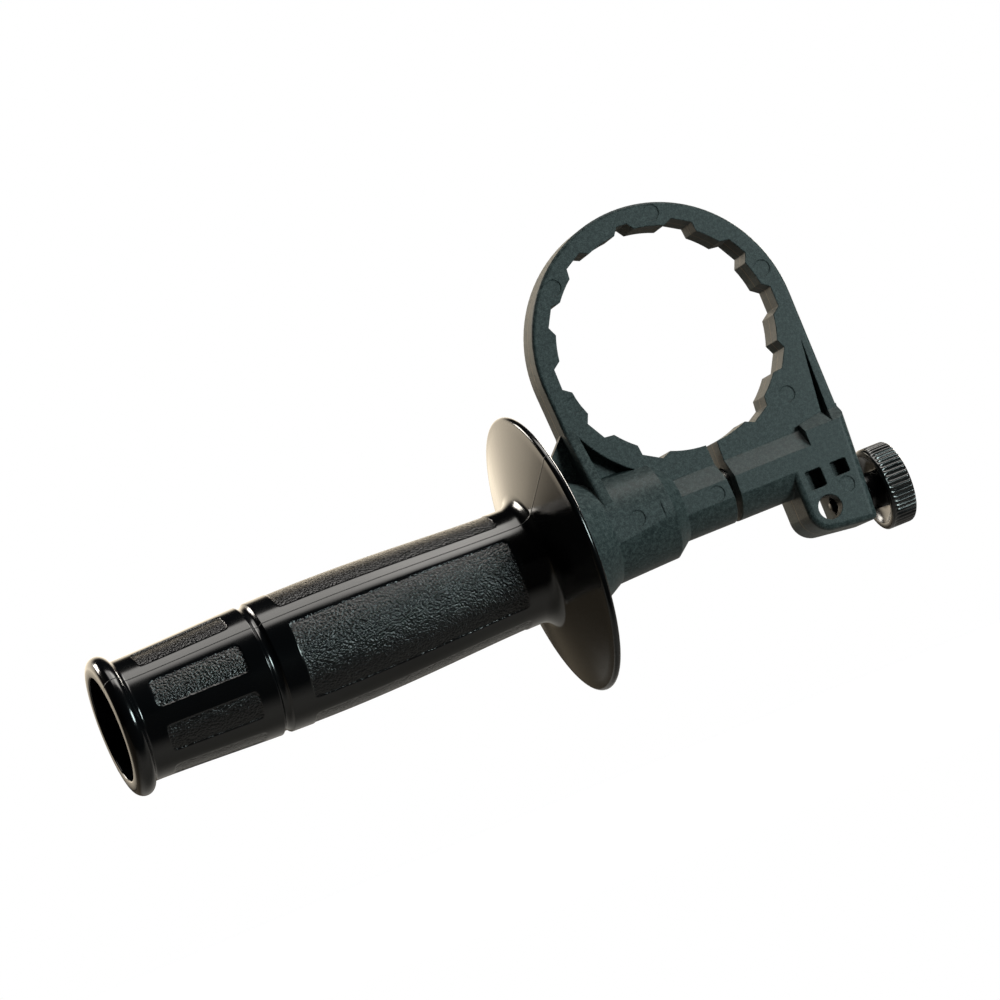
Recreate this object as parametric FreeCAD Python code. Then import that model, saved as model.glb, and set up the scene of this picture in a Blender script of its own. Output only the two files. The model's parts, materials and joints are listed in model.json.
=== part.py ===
"""Side handle for a hammer drill.

A split clamp collar with a toothed bore goes round the drill's neck. A hex bolt runs through
both lugs of the split into the hollow grip, so turning the grip closes the collar. A small
thumbscrew in the block beyond the split holds a depth rod.

Origin: centre of the clamp bore, at the middle of the ring's width. +Y runs along the bore
and -Y is the face with the pockets. The bolt, grip and thumbscrew lie along X, with the grip
at -X, and +Z points away from the grip. Sizes are in millimetres.
"""
import FreeCAD, Part
import math
import os

from FreeCAD import Vector

# Clamp ring
bore_radius = 29.0
ring_wall = 6.2
ring_width = 10.0
ring_edge_radius = 0.8
notch_pitch = 30.0
notch_depth = 1.8
notch_floor = 5.45
notch_mouth = 8.5
hinge_notch_floor = 2.8
hinge_notch_mouth = 5.8
split_x = 0.2
split_top = 3.2
split_bottom = 1.3

# Lugs and block, all the same width across
bolt_drop = 40.0
block_width = 18.0
lug_radius = 9.8
lug_flat_top = 1.0
lug_facet_top = 5.8
block_facet_top = 8.1
block_facet_bottom = 5.0
block_step = 12.0
block_length = 19.4
block_corner_radius = 5.6
block_edge_radius = 1.5
block_right_edge_radius = 2.1
block_bottom_left = 20.3
block_bottom_right = 22.4
shoulder_lean = 2.1
shoulder_bend_z = -31.0
lug_left_x = -13.9

# Boss that the grip bears on
boss_face_x = -46.9
boss_face_radius = 20.0
boss_neck_x = -34.6
boss_neck_radius = 13.4
boss_end_x = -17.9
boss_end_radius = 12.8
boss_core_radius = 7.2
boss_core_depth = 22.0
boss_flat = 12.7
boss_flat_end_x = -20.5

# Web and ribs at the left of the ring
web_thickness = 2.6
rib_thickness = 2.9
rib_top_z = -13.2
rib_foot_y = 12.2
left_wall_lean = 0.5
flare_foot_x = -44.0
flare_foot_z = -22.5

# Recess between the ring and its right shoulder
recess_depth = 3.4
recess_top_z = -12.6
recess_width = 1.9
recess_lean = 0.6
shoulder_rib = 2.2

# Pockets, marks and depth-rod hole in the block
pocket_depth = 4.0
pocket_size = 4.5
pocket_gap = 2.6
pocket_inset = 16.4
pocket_top = 4.8
pocket_left_height = 4.9
pocket_right_height = 3.8
rod_radius = 3.2
rod_drop = 15.2
rod_inset = 13.4
rod_land = 3.6
relief_margin = 0.3
relief_reach = 4.2
relief_corner = 0.5
mark_radius = 2.1
mark_depth = 0.15
ring_marks = ((74.6, 2.8), (136.1, 3.3), (14.5, 3.6), (-45.5, 1.0), (194.2, 5.0))
block_mark_inset = 7.0
block_mark_drop = 11.4
lug_mark_x = -4.8
lug_mark_drop = 1.6
boss_mark_x = -27.7

# Clamping bolt and its nut
bolt_radius = 4.0
bolt_clearance = 0.4
bolt_head_flats = 13.0
bolt_head_height = 5.3
bolt_head_inset = 7.2
head_clearance = 0.15
bolt_past_nut = 2.5
nut_flats = 13.0
nut_height = 6.5
nut_clearance = 0.05
thread_clearance = 0.05
chamfer = 0.8

# Grip with its guard flange
flange_radius = 36.6
flange_thickness = 1.8
flange_fillet = 4.2
flange_slope = 14.0
flange_land_margin = 1.0
bearing_clearance = 0.3
grip_neck_x = -59.0
grip_neck_radius = 15.2
grip_belly_x = -113.0
grip_belly_radius = 17.1
grip_swell_x = -86.0
grip_swell_radius = 16.4
grip_waist_x = -70.0
grip_waist_radius = 15.6
groove_x = -128.0
groove_lip_radius = 16.85
groove_width = 2.6
groove_depth = 0.8
grip_tail_x = -161.0
grip_tail_radius = 15.6
bead_radius = 2.5
bead_x = -165.9
bead_foot_radius = 1.0
mouth_radius = 13.4
hollow_end_radius = 12.2
hollow_end_x = -63.5
hub_radius = 10.0
core_radius = 14.4
core_draft = 0.25
core_depth = 8.0
core_ribs = 6
core_rib_angle = 12.0
pad_depth = 0.2
pad_count = 4
pad_angle = 70.0
short_pad_angle = 26.0
pad_corner = 1.2
pad_long_ends = (-120.8, -61.5)
pad_short_ends = (-158.0, -134.2)
seam_angle = 37.0

# Thumbscrew and its insert
knob_radius = 10.85
knob_length = 7.0
knob_stand = 3.72
knob_ribs = 48
knob_rib_depth = 0.45
knob_chamfer = 0.9
knob_hub_radius = 4.9
knob_hub_gap = 0.6
knob_dish_radius = 9.0
knob_dish_depth = 1.4
knob_cap_thickness = 1.6
stud_radius = 2.5
stud_point = 1.3
stud_clearance = 0.03
stud_hole_clearance = 0.15
insert_radius = 3.8
insert_length = 6.4
insert_ribs = 24
insert_rib_depth = 0.25
insert_sink = 0.1

# Worked out from the sizes above
ring_radius = bore_radius + ring_wall
shoulder_x = ring_radius
shoulder_bottom_x = shoulder_x - shoulder_lean
left_wall_x = left_wall_lean - ring_radius
rib_right_x = left_wall_x + rib_thickness
block_left_x = shoulder_x - block_length
block_step_x = shoulder_x - block_step
rod_x = shoulder_x - rod_inset
bolt_head_seat_x = shoulder_x - bolt_head_inset
axis_z = -bolt_drop
rod_z = axis_z - rod_drop
half_ring = ring_width / 2
half_block = block_width / 2
flange_back_x = boss_face_x - bearing_clearance
flange_face_x = flange_back_x - flange_thickness
flange_rim = flange_thickness / 2
front = Vector(0, -1, 0)
handle_axis = Vector(1, 0, 0)
handle_centre = Vector(0, 0, axis_z)
seat_fuzz = 0.01
far = 200.0


def block_wall_x(z):
    """The right-hand wall's X at the middle plane: upright to the bend, then leaning in."""
    if z >= shoulder_bend_z:
        return shoulder_x
    fall = (shoulder_bend_z - z) / (shoulder_bend_z - (axis_z - block_bottom_right))
    return shoulder_x - (shoulder_x - shoulder_bottom_x) * fall


def rounded_wire(corners, y):
    """A closed wire in the XZ plane at y, from (x, z, radius) corners with round ones as arcs."""
    count = len(corners)
    starts = []
    arcs = []
    for i in range(count):
        x, z, radius = corners[i]
        here = Vector(x, y, z)
        before = Vector(corners[i - 1][0], y, corners[i - 1][1]) - here
        after = Vector(corners[(i + 1) % count][0], y, corners[(i + 1) % count][1]) - here
        before.normalize()
        after.normalize()
        if radius == 0:
            starts.append((here, here))
            arcs.append(None)
            continue
        half = before.getAngle(after) / 2
        run = radius / math.tan(half)
        middle = before + after
        middle.normalize()
        centre = here + middle * (radius / math.sin(half))
        entry = here + before * run
        leave = here + after * run
        starts.append((entry, leave))
        arcs.append(Part.Arc(entry, centre - middle * radius, leave))
    edges = []
    for i in range(count):
        if arcs[i] is not None:
            edges.append(arcs[i].toShape())
        leave = starts[i][1]
        entry = starts[(i + 1) % count][0]
        if leave.distanceToPoint(entry) > seat_fuzz:
            edges.append(Part.LineSegment(leave, entry).toShape())
    return Part.Wire(edges)


def straight_prism(corners, y_low, y_high):
    """A prism along Y between two heights, from (x, z, radius) corners."""
    face = Part.Face(rounded_wire(corners, y_low))
    return face.extrude(Vector(0, y_high - y_low, 0))


def along_x(corners, x_low, x_high):
    """A prism along X from a list of (y, z) corners."""
    points = [Vector(x_low, y, z) for y, z in corners]
    face = Part.Face(Part.makePolygon(points + points[:1]))
    return face.extrude(Vector(x_high - x_low, 0, 0))


def box(x_low, x_high, y_low, y_high, z_low, z_high):
    return Part.makeBox(x_high - x_low, y_high - y_low, z_high - z_low, Vector(x_low, y_low, z_low))


def rod_along_x(x_low, x_high, radius, z=axis_z):
    return Part.makeCylinder(radius, x_high - x_low, Vector(x_low, 0, z), handle_axis)


def rod_along_y(x, z, radius, y_low, y_high):
    return Part.makeCylinder(radius, y_high - y_low, Vector(x, y_low, z), Vector(0, 1, 0))


def turned(stations, z=axis_z, edges=None):
    """A solid turned about an axis along X from (x, radius) corners, closed on the axis."""
    points = [Vector(x, 0, z + radius) for x, radius in stations]
    if edges is None:
        edges = [Part.LineSegment(a, b).toShape() for a, b in zip(points, points[1:])]
    if stations[0][1] > 0:
        start = Vector(stations[0][0], 0, z)
        finish = Vector(stations[-1][0], 0, z)
        edges = [Part.LineSegment(start, points[0]).toShape()] + edges
        edges += [Part.LineSegment(points[-1], finish).toShape(), Part.LineSegment(finish, start).toShape()]
    face = Part.Face(Part.Wire(edges))
    return face.revolve(Vector(0, 0, z), handle_axis, 360)


def hexagon_x(flats, x_low, x_high, clearance=0.0, z=axis_z):
    """A hexagonal prism along X, corners up and down."""
    radius = (flats / 2 + clearance) / math.cos(math.radians(30))
    corners = []
    for i in range(6):
        angle = math.radians(60 * i + 90)
        corners.append((radius * math.cos(angle), z + radius * math.sin(angle)))
    return along_x(corners, x_low, x_high)


def fillet_where(solid, radius, test):
    """Round the edges whose middle point passes the test."""
    chosen = []
    for edge in solid.Edges:
        middle = edge.valueAt((edge.FirstParameter + edge.LastParameter) / 2)
        if test(middle, edge):
            chosen.append(edge)
    return solid.makeFillet(radius, chosen)


# Collar

def disc(edge_radius):
    """A disc of the ring's outer radius and width, with its edges rounded."""
    outline = [(0, -half_ring, 0), (ring_radius, -half_ring, edge_radius),
               (ring_radius, half_ring, edge_radius), (0, half_ring, 0)]
    solid = Part.Face(rounded_wire(outline, 0)).revolve(Vector(0, 0, 0), Vector(0, 0, 1), 360)
    solid.rotate(Vector(0, 0, 0), handle_axis, 90)
    return solid


def ring_disc():
    """The ring's outer form, its edge left sharp beside the boss from under the left plate on."""
    beside_boss = box(-ring_radius, 0, -half_ring, half_ring, axis_z, rib_top_z * 0.75)
    return disc(ring_edge_radius).fuse(disc(0).common(beside_boss))


def right_shoulder():
    """Plate at ring width whose outer wall leaves the ring at a tangent and runs into the block."""
    corners = [(0, 0, 0), (shoulder_x, 0, 0), (shoulder_x, shoulder_bend_z, 0),
               (block_wall_x(axis_z), axis_z, 0), (lug_left_x, axis_z, 0),
               (lug_left_x, -bore_radius, 0)]

    def outer_edges(middle, edge):
        return middle.x > shoulder_x - seat_fuzz and abs(abs(middle.y) - half_ring) < seat_fuzz

    return fillet_where(straight_prism(corners, -half_ring, half_ring), ring_edge_radius, outer_edges)


def left_shoulder():
    """The ring's left wall and the upright rib that carries it, with one rounded edge down both."""
    reach = math.hypot(left_wall_x, rib_top_z)
    touch = math.atan2(rib_top_z, left_wall_x) - math.acos(ring_radius / reach)
    corners = [(0, 0, 0), (rib_right_x, rib_top_z, 0), (left_wall_x, rib_top_z, 0),
               (ring_radius * math.cos(touch), ring_radius * math.sin(touch), 0)]
    plate = straight_prism(corners, -half_ring, half_ring)
    foot_z = axis_z + lug_radius / 2
    side = [(-half_ring, rib_top_z), (half_ring, rib_top_z), (rib_foot_y, axis_z + lug_facet_top),
            (rib_foot_y, foot_z), (-rib_foot_y, foot_z), (-rib_foot_y, axis_z + lug_facet_top)]
    solid = plate.fuse(along_x(side, left_wall_x, rib_right_x)).removeSplitter()

    def outer_edges(middle, edge):
        on_wall = middle.x < left_wall_x + seat_fuzz and middle.z > axis_z + lug_facet_top
        return on_wall and abs(middle.y) > half_ring - seat_fuzz

    return fillet_where(solid, ring_edge_radius, outer_edges)


def block():
    """The depth-stop block, as wide as the lugs, with its right-hand edges rounded."""
    bottom = axis_z - block_bottom_left
    corners = [(block_left_x, axis_z + lug_facet_top, 0),
               (block_left_x, bottom, block_corner_radius),
               (shoulder_bottom_x, axis_z - block_bottom_right, 0),
               (shoulder_x, shoulder_bend_z, 0)]
    solid = straight_prism(corners, -half_block, half_block)

    def on_face(middle):
        return abs(abs(middle.y) - half_block) < seat_fuzz

    def right_edges(middle, edge):
        return on_face(middle) and middle.x > block_step_x + 5 and middle.z > rod_z

    def lower_edges(middle, edge):
        return on_face(middle) and (middle.x < block_step_x or middle.z < rod_z) and middle.z < axis_z

    solid = fillet_where(solid, block_right_edge_radius, right_edges)
    return fillet_where(solid, block_edge_radius, lower_edges)


def facet_cutters(x_low, x_high, low, high):
    """Wedges that slope the wide part's faces back to the ring's faces above the bolt."""
    cutters = []
    for sign in (-1, 1):
        corners = [(sign * half_ring, axis_z + high), (sign * half_block, axis_z + low),
                   (sign * (half_block + 5), axis_z + low), (sign * (half_block + 5), axis_z + 30),
                   (sign * half_ring, axis_z + 30)]
        cutters.append(along_x(corners, x_low, x_high))
    return cutters


def lugs_and_block():
    barrel = rod_along_x(lug_left_x - 1, block_left_x + 3, lug_radius)
    barrel = barrel.common(box(-far, far, -half_block, half_block, -far, far))
    solid = barrel.fuse(block())
    low = facet_cutters(lug_left_x - 5, block_step_x, lug_flat_top, lug_facet_top)
    high = facet_cutters(block_step_x, shoulder_x + 5, block_facet_bottom, block_facet_top)
    return solid.cut(low + high)


def boss():
    """Turned boss on the bolt's axis: bearing flare, neck, bevel down to the lug."""
    return turned([(boss_face_x, boss_face_radius), (boss_neck_x, boss_neck_radius),
                   (boss_end_x, boss_end_radius), (lug_left_x, lug_radius)])


def left_web():
    """Middle web between the ring's left side and the boss."""
    rim = [(rib_right_x, 0, 0), (left_wall_x, rib_top_z, 0), (flare_foot_x, flare_foot_z, 0),
           (flare_foot_x, axis_z, 0), (lug_left_x, axis_z, 0), (lug_left_x, rib_top_z, 0)]
    return straight_prism(rim, -web_thickness / 2, web_thickness / 2)


def bore_cutters():
    """The clamp bore and the notches that leave its gripping lands."""
    cutters = [rod_along_y(0, 0, bore_radius, -half_block, half_block)]
    floor = bore_radius + notch_depth
    mouth = math.sqrt(bore_radius ** 2 - (notch_mouth / 2) ** 2)

    def notch(angle, floor_width, mouth_width):
        inner = mouth - notch_depth
        spread = (mouth_width - floor_width) / 2 * (floor - inner) / (floor - mouth)
        outline = [(inner, floor_width / 2 + spread, 0), (floor, floor_width / 2, 0),
                   (floor, -floor_width / 2, 0), (inner, -floor_width / 2 - spread, 0)]
        solid = straight_prism(outline, -half_block, half_block)
        solid.rotate(Vector(0, 0, 0), front, angle)
        return solid

    for i in range(12):
        angle = i * notch_pitch
        if angle == 90:
            cutters.append(notch(angle, hinge_notch_floor, hinge_notch_mouth))
        elif angle != 270:
            cutters.append(notch(angle, notch_floor, notch_mouth))
    return cutters


def split_cutter():
    """The wedge-shaped split through both lugs, widest at the bore."""
    bottom = axis_z - lug_radius - 1
    top = -bore_radius + notch_depth
    outline = [(split_x - split_top / 2, top, 0), (split_x + split_top / 2, top, 0),
               (split_x + split_bottom / 2, bottom, 0), (split_x - split_bottom / 2, bottom, 0)]
    return straight_prism(outline, -half_block - 1, half_block + 1)


def recess_cutters():
    """Narrow recess on both faces between the ring and the right-hand rib."""
    right = shoulder_x - shoulder_rib
    left = right - recess_lean - recess_width
    outline = [(right, recess_top_z, 0), (left, axis_z + block_facet_top, 0),
               (left + recess_lean, axis_z + block_facet_bottom, 0),
               (right - recess_lean, axis_z + block_facet_top, 0)]
    cutters = []
    for sign in (-1, 1):
        low, high = sorted((sign * (half_ring - recess_depth), sign * (half_block + 1)))
        cutters.append(straight_prism(outline, low, high))
    return cutters


def pocket_cutters():
    """Two square pockets in the front face of the block."""
    cutters = []
    left = shoulder_x - pocket_inset
    for height in (pocket_left_height, pocket_right_height):
        top = axis_z - pocket_top
        corners = [(left, top, 0.5), (left, top - height, 0.5), (left + pocket_size, top - height, 0.5),
                   (left + pocket_size, top, 0.5)]
        cutters.append(straight_prism(corners, -half_block - 1, -half_block + pocket_depth))
        left += pocket_size + pocket_gap
    return cutters


def rod_cutters():
    """The depth-rod hole: a round land at the front, with a wider relief behind it."""
    radius = rod_radius + relief_margin
    relief_y = rod_land - half_block
    right = rod_x + relief_reach
    corners = [(rod_x, rod_z - radius, 0), (rod_x, rod_z + radius, 0),
               (right, rod_z + radius, relief_corner), (right, rod_z - radius, relief_corner)]
    return [rod_along_y(rod_x, rod_z, rod_radius, -half_block - 1, half_block + 1),
            rod_along_y(rod_x, rod_z, radius, relief_y, half_block + 1),
            straight_prism(corners, relief_y, half_block + 1)]


def mark_cutters():
    """Shallow round marks that the ejector pins leave on the front, and the boss's flat for one.

    Those on the ring are given by their angle and how far they lie inside its outer radius.
    """
    places = [(shoulder_x - block_mark_inset, axis_z - block_mark_drop, half_block),
              (lug_mark_x, axis_z - lug_mark_drop, half_block)]
    for degrees, inset in ring_marks:
        angle = math.radians(degrees)
        reach = ring_radius - inset
        places.append((reach * math.cos(angle), reach * math.sin(angle), half_ring))
    cutters = [rod_along_y(x, z, mark_radius, -y - 1, -y + mark_depth) for x, z, y in places]
    cutters.append(rod_along_y(boss_mark_x, axis_z, mark_radius, -boss_flat - 1, -boss_flat + mark_depth))
    cutters.append(box(boss_neck_x, boss_flat_end_x, -boss_flat - 2, -boss_flat, -far, 0))
    return cutters


def bolt_cutters():
    """Holes for the clamping bolt, its head, the boss core and the thumbscrew's insert."""
    return [rod_along_x(boss_face_x - 1, bolt_head_seat_x + 1, bolt_radius + bolt_clearance),
            rod_along_x(boss_face_x - 1, boss_face_x + boss_core_depth, boss_core_radius),
            hexagon_x(bolt_head_flats, bolt_head_seat_x, far, head_clearance),
            rod_along_x(rod_x, far, stud_radius + stud_hole_clearance, rod_z),
            rod_along_x(insert_start(), far, insert_radius, rod_z)]


def insert_start():
    return block_wall_x(rod_z) - insert_length


def collar():
    solid = ring_disc().fuse([right_shoulder(), left_shoulder(), lugs_and_block(), boss(), left_web()])
    cutters = bore_cutters() + recess_cutters() + pocket_cutters() + rod_cutters() + mark_cutters()
    cutters += bolt_cutters() + [split_cutter()]
    return solid.cut(cutters).removeSplitter()


# Grip

def grip_curve(ends):
    """The grip's smooth outer line between two X positions, as points on one gentle barrel curve."""
    stations = [(grip_tail_x, grip_tail_radius), (groove_x, groove_lip_radius),
                (grip_belly_x, grip_belly_radius), (grip_swell_x, grip_swell_radius),
                (grip_waist_x, grip_waist_radius), (grip_neck_x, grip_neck_radius)]
    curve = Part.BSplineCurve()
    curve.interpolate([Vector(x, 0, axis_z + radius) for x, radius in stations])
    first = curve.intersectCC(Part.LineSegment(Vector(ends[0], 0, axis_z), Vector(ends[0], 0, 0)))[0]
    last = curve.intersectCC(Part.LineSegment(Vector(ends[1], 0, axis_z), Vector(ends[1], 0, 0)))[0]
    low = curve.parameter(Vector(first.X, first.Y, first.Z))
    high = curve.parameter(Vector(last.X, last.Y, last.Z))
    return curve.toShape(low, high)


def grip_outside():
    """Turned outside of grip, bead and guard flange."""
    tail = grip_curve((grip_tail_x, groove_x - groove_width / 2))
    body = grip_curve((groove_x + groove_width / 2, grip_neck_x))
    tail_end = tail.Vertexes[-1].Point
    body_start = body.Vertexes[0].Point
    body_end = body.Vertexes[-1].Point
    groove_floor = Vector(groove_x, 0, tail_end.z - groove_depth)
    slope = math.radians(flange_slope)
    outward = Vector(math.sin(slope), 0, math.cos(slope))
    off_face = Vector(-math.cos(slope), 0, math.sin(slope))
    rim_low = Vector(flange_face_x, 0, axis_z + flange_radius - flange_rim)
    rim_top = Vector(flange_face_x + flange_rim, 0, axis_z + flange_radius)
    rim_high = Vector(flange_back_x, 0, axis_z + flange_radius - flange_rim)
    cone_height = rim_low.z - body_end.z - flange_fillet * (1 - math.sin(slope))
    fillet_end = rim_low - outward * (cone_height / math.cos(slope))
    fillet_centre = fillet_end + off_face * flange_fillet
    fillet_start = Vector(fillet_centre.x, 0, body_end.z)
    fillet_arm = (fillet_start - fillet_centre) + (fillet_end - fillet_centre)
    fillet_middle = fillet_centre + fillet_arm * (flange_fillet / fillet_arm.Length)
    bead_centre = Vector(bead_x, 0, axis_z + grip_tail_radius)
    bead_inner = Vector(bead_x - bead_radius, 0, bead_centre.z)
    bead_top = Vector(bead_x, 0, bead_centre.z + bead_radius)
    bead_foot = bead_radius + bead_foot_radius
    foot_run = math.sqrt(bead_foot ** 2 - bead_foot_radius ** 2)
    foot_centre = bead_centre + Vector(foot_run, 0, bead_foot_radius)
    foot_low = foot_centre - Vector(0, 0, bead_foot_radius)
    bead_outer = bead_centre + (foot_centre - bead_centre) * (bead_radius / bead_foot)
    foot_arm = (bead_outer - foot_centre) + (foot_low - foot_centre)
    foot_middle = foot_centre + foot_arm * (bead_foot_radius / foot_arm.Length)
    tail_start = tail.Vertexes[0].Point
    axis_left = Vector(bead_x - bead_radius, 0, axis_z)
    axis_right = Vector(flange_back_x, 0, axis_z)
    edges = [Part.LineSegment(axis_left, bead_inner).toShape(),
             Part.Arc(bead_inner, bead_top, bead_outer).toShape(),
             Part.Arc(bead_outer, foot_middle, foot_low).toShape(),
             Part.LineSegment(foot_low, tail_start).toShape(),
             tail,
             Part.Arc(tail_end, groove_floor, body_start).toShape(),
             body,
             Part.LineSegment(body_end, fillet_start).toShape(),
             Part.Arc(fillet_start, fillet_middle, fillet_end).toShape(),
             Part.LineSegment(fillet_end, rim_low).toShape(),
             Part.Arc(rim_low, rim_top, rim_high).toShape(),
             Part.LineSegment(rim_high, axis_right).toShape(),
             Part.LineSegment(axis_right, axis_left).toShape()]
    face = Part.Face(Part.Wire(edges))
    return face.revolve(handle_centre, handle_axis, 360)


def flange_dish():
    """The hollow back of the guard, which leaves its cone one wall thick beyond the bearing land."""
    land_radius = boss_face_radius + flange_land_margin
    outer_radius = flange_radius - flange_rim
    depth = (outer_radius - land_radius) * math.tan(math.radians(flange_slope))
    points = [Vector(flange_back_x, 0, axis_z + outer_radius),
              Vector(flange_back_x - depth, 0, axis_z + land_radius),
              Vector(flange_back_x, 0, axis_z + land_radius)]
    face = Part.Face(Part.makePolygon(points + points[:1]))
    return face.revolve(handle_centre, handle_axis, 360)


def pad_cutters():
    """Shallow rounded panels round the grip: one row of long ones and one of short narrow pairs."""
    cutters = []
    side = (pad_angle - short_pad_angle) / 2
    rows = ((pad_long_ends, pad_angle, (0.0,)), (pad_short_ends, short_pad_angle, (-side, side)))
    for ends, width, shifts in rows:
        curve = grip_curve(ends)
        low = curve.Vertexes[0].Point
        high = curve.Vertexes[-1].Point
        inner = curve.copy()
        inner.translate(Vector(0, 0, -pad_depth))
        top = axis_z + flange_radius
        outline = Part.Wire([inner,
                             Part.LineSegment(inner.Vertexes[-1].Point, Vector(high.x, 0, top)).toShape(),
                             Part.LineSegment(Vector(high.x, 0, top), Vector(low.x, 0, top)).toShape(),
                             Part.LineSegment(Vector(low.x, 0, top), inner.Vertexes[0].Point).toShape()])
        sector = Part.Face(outline).revolve(handle_centre, handle_axis, width)

        def radial(middle, edge):
            return isinstance(edge.Curve, Part.Line) and edge.Length > 5

        sector = fillet_where(sector, pad_corner, radial)
        # A sector starts at +Z, and +X turns carry it towards -Y; the seam lies above -Y.
        for i in range(pad_count):
            for shift in shifts:
                pad = sector.copy()
                turn = 90 - seam_angle + 360 / pad_count * (i + 0.5) + shift - width / 2
                pad.rotate(handle_centre, handle_axis, turn)
                cutters.append(pad)
    return cutters


def core_cutters():
    """Six pockets in the flange side of the grip, between its hub and its outer wall."""
    cutters = []
    for i in range(core_ribs):
        outline = [(flange_back_x - core_depth, hub_radius), (flange_back_x - core_depth, core_radius),
                   (flange_back_x + 1, core_radius + core_draft),
                   (flange_back_x + 1, hub_radius - core_draft)]
        points = [Vector(x, 0, axis_z + radius) for x, radius in outline]
        face = Part.Face(Part.makePolygon(points + points[:1]))
        pocket = face.revolve(handle_centre, handle_axis, 360 / core_ribs - core_rib_angle)
        pocket.rotate(handle_centre, handle_axis, 360 / core_ribs * i + core_rib_angle / 2)
        cutters.append(pocket)
    return cutters


def grip():
    hollow = turned([(bead_x - bead_radius - 1, mouth_radius + 0.05), (hollow_end_x, hollow_end_radius)])
    nut_pocket = hexagon_x(nut_flats, hollow_end_x - 1, hollow_end_x + nut_height, nut_clearance)
    hole = rod_along_x(hollow_end_x, flange_back_x + 1, bolt_radius + bolt_clearance)
    cutters = pad_cutters() + core_cutters() + [flange_dish(), hollow, nut_pocket, hole]
    return grip_outside().cut(cutters).removeSplitter()


def chamfered_hexagon(flats, x_low, x_high):
    """A hexagon along X with its corners turned down to a cone at both ends."""
    corner_radius = flats / 2 / math.cos(math.radians(30))
    ring = flats / 2 - 0.2
    rise = (corner_radius - ring) * math.tan(math.radians(30))
    envelope = turned([(x_low, ring), (x_low + rise, corner_radius), (x_high - rise, corner_radius),
                       (x_high, ring)])
    return hexagon_x(flats, x_low, x_high).common(envelope)


def grip_nut():
    start = hollow_end_x
    solid = chamfered_hexagon(nut_flats, start, start + nut_height)
    return solid.cut(rod_along_x(start - 1, start + nut_height + 1, bolt_radius + thread_clearance))


def tie_bolt():
    end = hollow_end_x - bolt_past_nut
    shank = turned([(end, bolt_radius - chamfer), (end + chamfer, bolt_radius),
                    (bolt_head_seat_x, bolt_radius)])
    head = chamfered_hexagon(bolt_head_flats, bolt_head_seat_x, bolt_head_seat_x + bolt_head_height)
    return shank.fuse(head).removeSplitter()


# Thumbscrew

def ribbed_face(radius, depth, count, x):
    """A face square to X on the screw's axis, its edge cut into straight ribs."""
    points = []
    for i in range(count):
        for share, inset in ((-0.3, 0.0), (0.05, 0.0), (0.25, depth), (0.45, depth)):
            angle = 2 * math.pi * (i + share) / count
            reach = radius - inset
            points.append(Vector(x, reach * math.cos(angle), rod_z + reach * math.sin(angle)))
    return Part.Face(Part.makePolygon(points + points[:1]))


def thumbscrew_knob():
    """Ribbed knob with a dished inner face and a hub that reaches towards the block."""
    knob_inner_x = knob_start_x()
    outer_x = knob_inner_x + knob_length
    hub_x = block_wall_x(rod_z) + knob_hub_gap
    prism = ribbed_face(knob_radius, knob_rib_depth, knob_ribs, knob_inner_x).extrude(Vector(knob_length, 0, 0))
    envelope = turned([(knob_inner_x, knob_radius - 0.5), (knob_inner_x + 0.5, knob_radius),
                       (outer_x - knob_chamfer, knob_radius), (outer_x, knob_radius - knob_chamfer)], rod_z)
    hub = turned([(hub_x, knob_hub_radius - 0.5), (hub_x + 0.5, knob_hub_radius),
                  (knob_inner_x + knob_dish_depth + 1, knob_hub_radius)], rod_z)
    dish = turned([(knob_inner_x - 1, knob_dish_radius + 0.4), (knob_inner_x, knob_dish_radius),
                   (knob_inner_x + knob_dish_depth, knob_dish_radius - 2)], rod_z)
    hole = rod_along_x(hub_x - 1, stud_end_x() + stud_clearance, stud_radius + stud_clearance, rod_z)
    return prism.common(envelope).cut(dish).fuse(hub).cut(hole).removeSplitter()


def knob_start_x():
    """The knob's inner face, clear of the block's leaning wall."""
    return block_wall_x(rod_z) + knob_stand


def stud_end_x():
    return knob_start_x() + knob_length - knob_cap_thickness


def thumbscrew_stud():
    tip = rod_x + rod_radius
    return turned([(tip, stud_radius - stud_point), (tip + stud_point, stud_radius),
                   (stud_end_x(), stud_radius)], rod_z)


def thread_insert():
    start = insert_start()
    body = ribbed_face(insert_radius, insert_rib_depth, insert_ribs, start)
    body = body.extrude(Vector(insert_length - insert_sink, 0, 0))
    return body.cut(rod_along_x(start - 1, far, stud_radius + thread_clearance, rod_z))


def write(name, shape):
    solids = shape.Solids
    shape = solids[0] if len(solids) == 1 else Part.Compound(solids)
    shape.exportStep("parts/" + name + ".step")
    print(name, "solids", len(solids), "valid", shape.isValid(), "volume", round(shape.Volume, 1),
          "faces", len(shape.Faces))


os.makedirs("parts", exist_ok=True)
write("collar", collar())
write("grip", grip())
write("grip_nut", grip_nut())
write("tie_bolt", tie_bolt())
write("thread_insert", thread_insert())
write("thumbscrew_stud", thumbscrew_stud())
write("thumbscrew_knob", thumbscrew_knob())
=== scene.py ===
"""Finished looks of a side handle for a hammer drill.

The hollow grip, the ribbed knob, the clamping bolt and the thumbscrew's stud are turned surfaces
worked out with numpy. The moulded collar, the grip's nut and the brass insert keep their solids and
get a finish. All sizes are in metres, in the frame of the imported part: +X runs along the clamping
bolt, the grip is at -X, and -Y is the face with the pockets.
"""

import json
import math

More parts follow.
